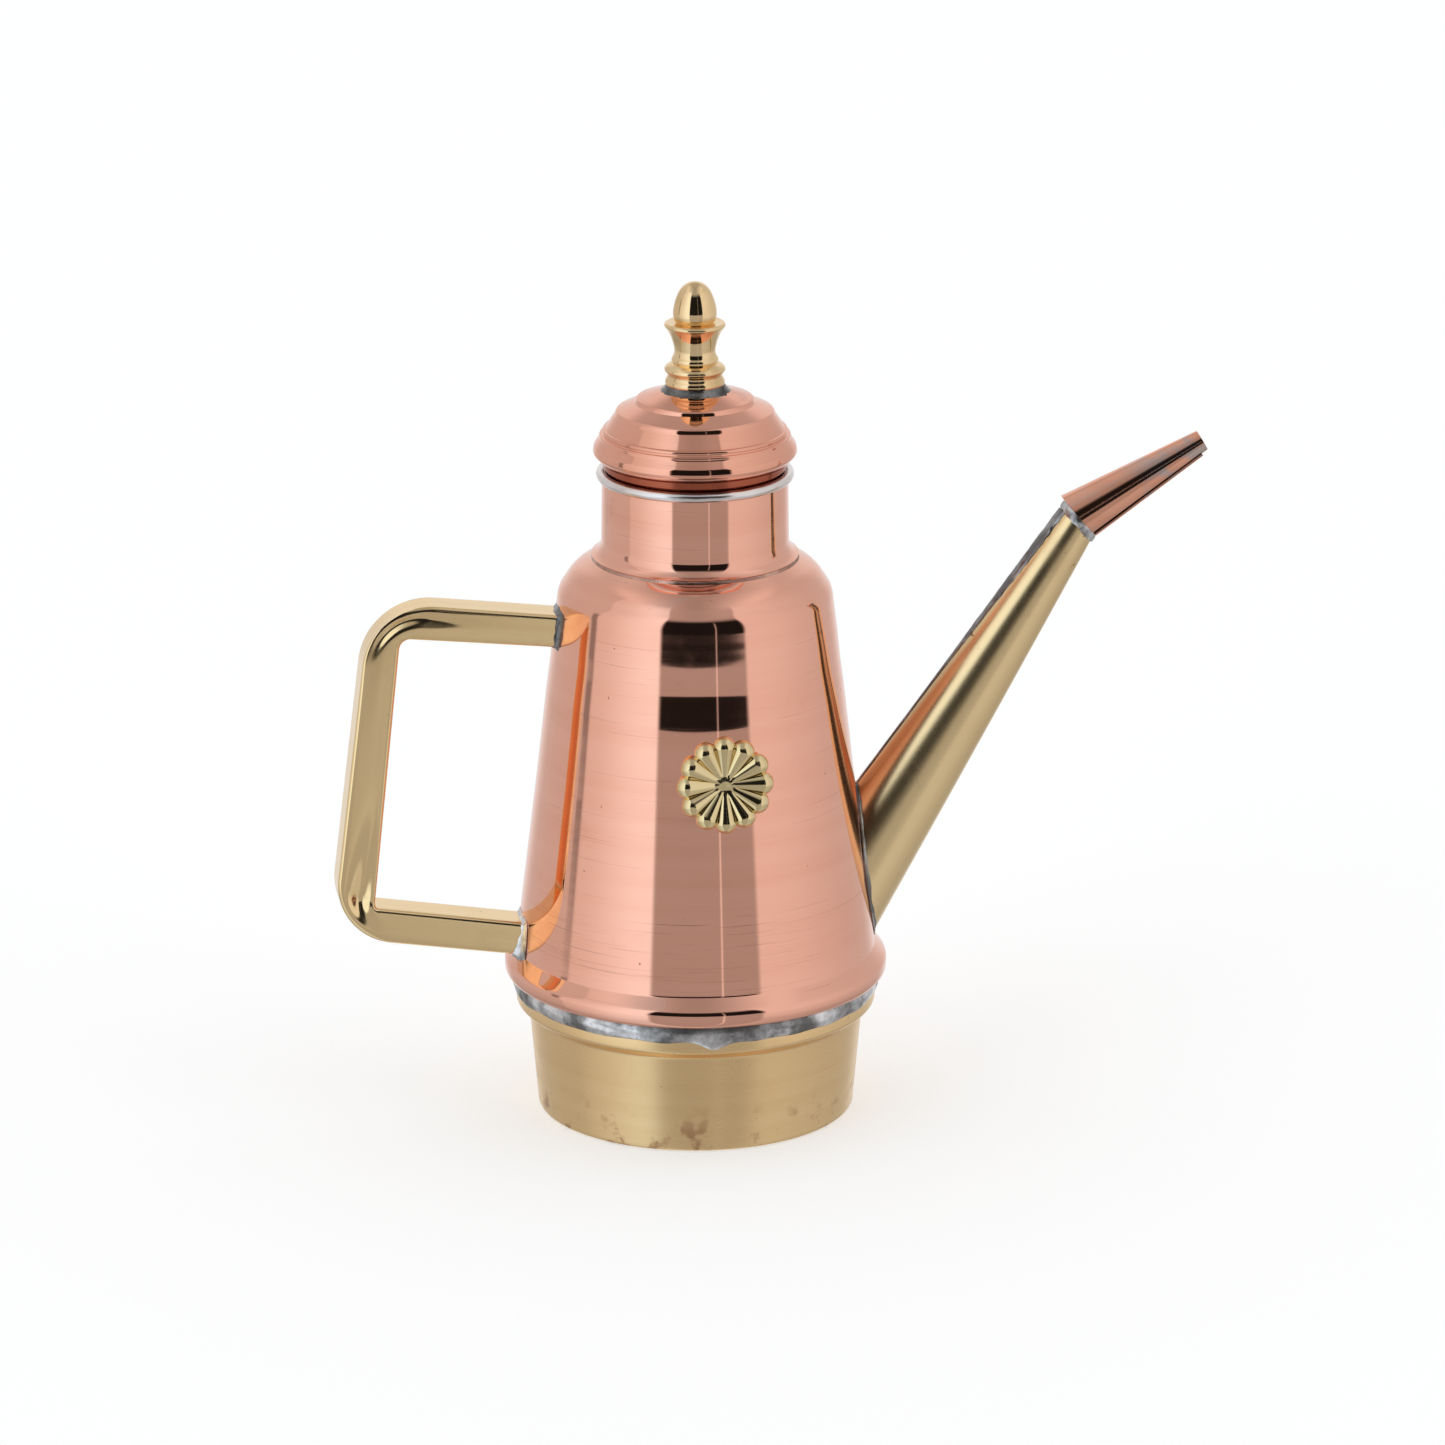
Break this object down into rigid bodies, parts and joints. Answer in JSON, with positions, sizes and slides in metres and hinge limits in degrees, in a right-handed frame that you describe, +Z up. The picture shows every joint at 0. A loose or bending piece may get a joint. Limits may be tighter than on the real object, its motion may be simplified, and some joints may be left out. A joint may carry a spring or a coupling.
{
  "type": "oil can",
  "caption": "Copper and brass oil can with a conical body, long tapering spout, rectangular tube handle and lift-off stepped lid with an acorn finial.",
  "frame": {"origin": "centre of the foot's flat underside", "axes": "+Z up the can's axis, +X towards the spout, the handle on -X, the rosette on -Y"},
  "size_m": [0.2481, 0.1088, 0.24],
  "materials": {
    "copper": "spun and polished copper, fine rings round the axis, lightly stained",
    "dark_copper": "oxidised copper, dull",
    "tip_copper": "rolled copper sheet, polished lengthways, smeared with solder",
    "brass": "satin brass sheet, fine lengthways grain, small brown spots",
    "turned_brass": "turned and polished brass",
    "pressed_brass": "pressed brass, bright, grey in the grooves",
    "tinned_wire": "tinned copper wire, soft grey sheen",
    "solder": "hand-run tin solder, dull grey with scraped marks"
  },
  "bodies": {
    "can": {"foot_cup": "brass", "foot_solder": "solder", "body_shell": "copper", "neck": "copper", "neck_solder": "solder", "neck_rim": "tinned_wire", "rosette": "pressed_brass", "rosette_solder": "solder", "handle": "brass", "handle_upper_solder": "solder", "handle_lower_solder": "solder", "spout_tube": "brass", "spout_root_solder": "solder", "spout_seam_solder": "solder", "spout_tip": "tip_copper", "spout_tip_solder": "solder"},
    "lid": {"lid_dome": "copper", "lid_sleeve": "dark_copper", "lid_sleeve_solder": "solder", "finial": "turned_brass", "finial_solder": "solder"}
  },
  "joints": [
    {"name": "lid_lift", "type": "slide", "parent": "can", "child": "lid", "axis": [0, 0, 1], "range_m": [0, 0.06]}
  ]
}
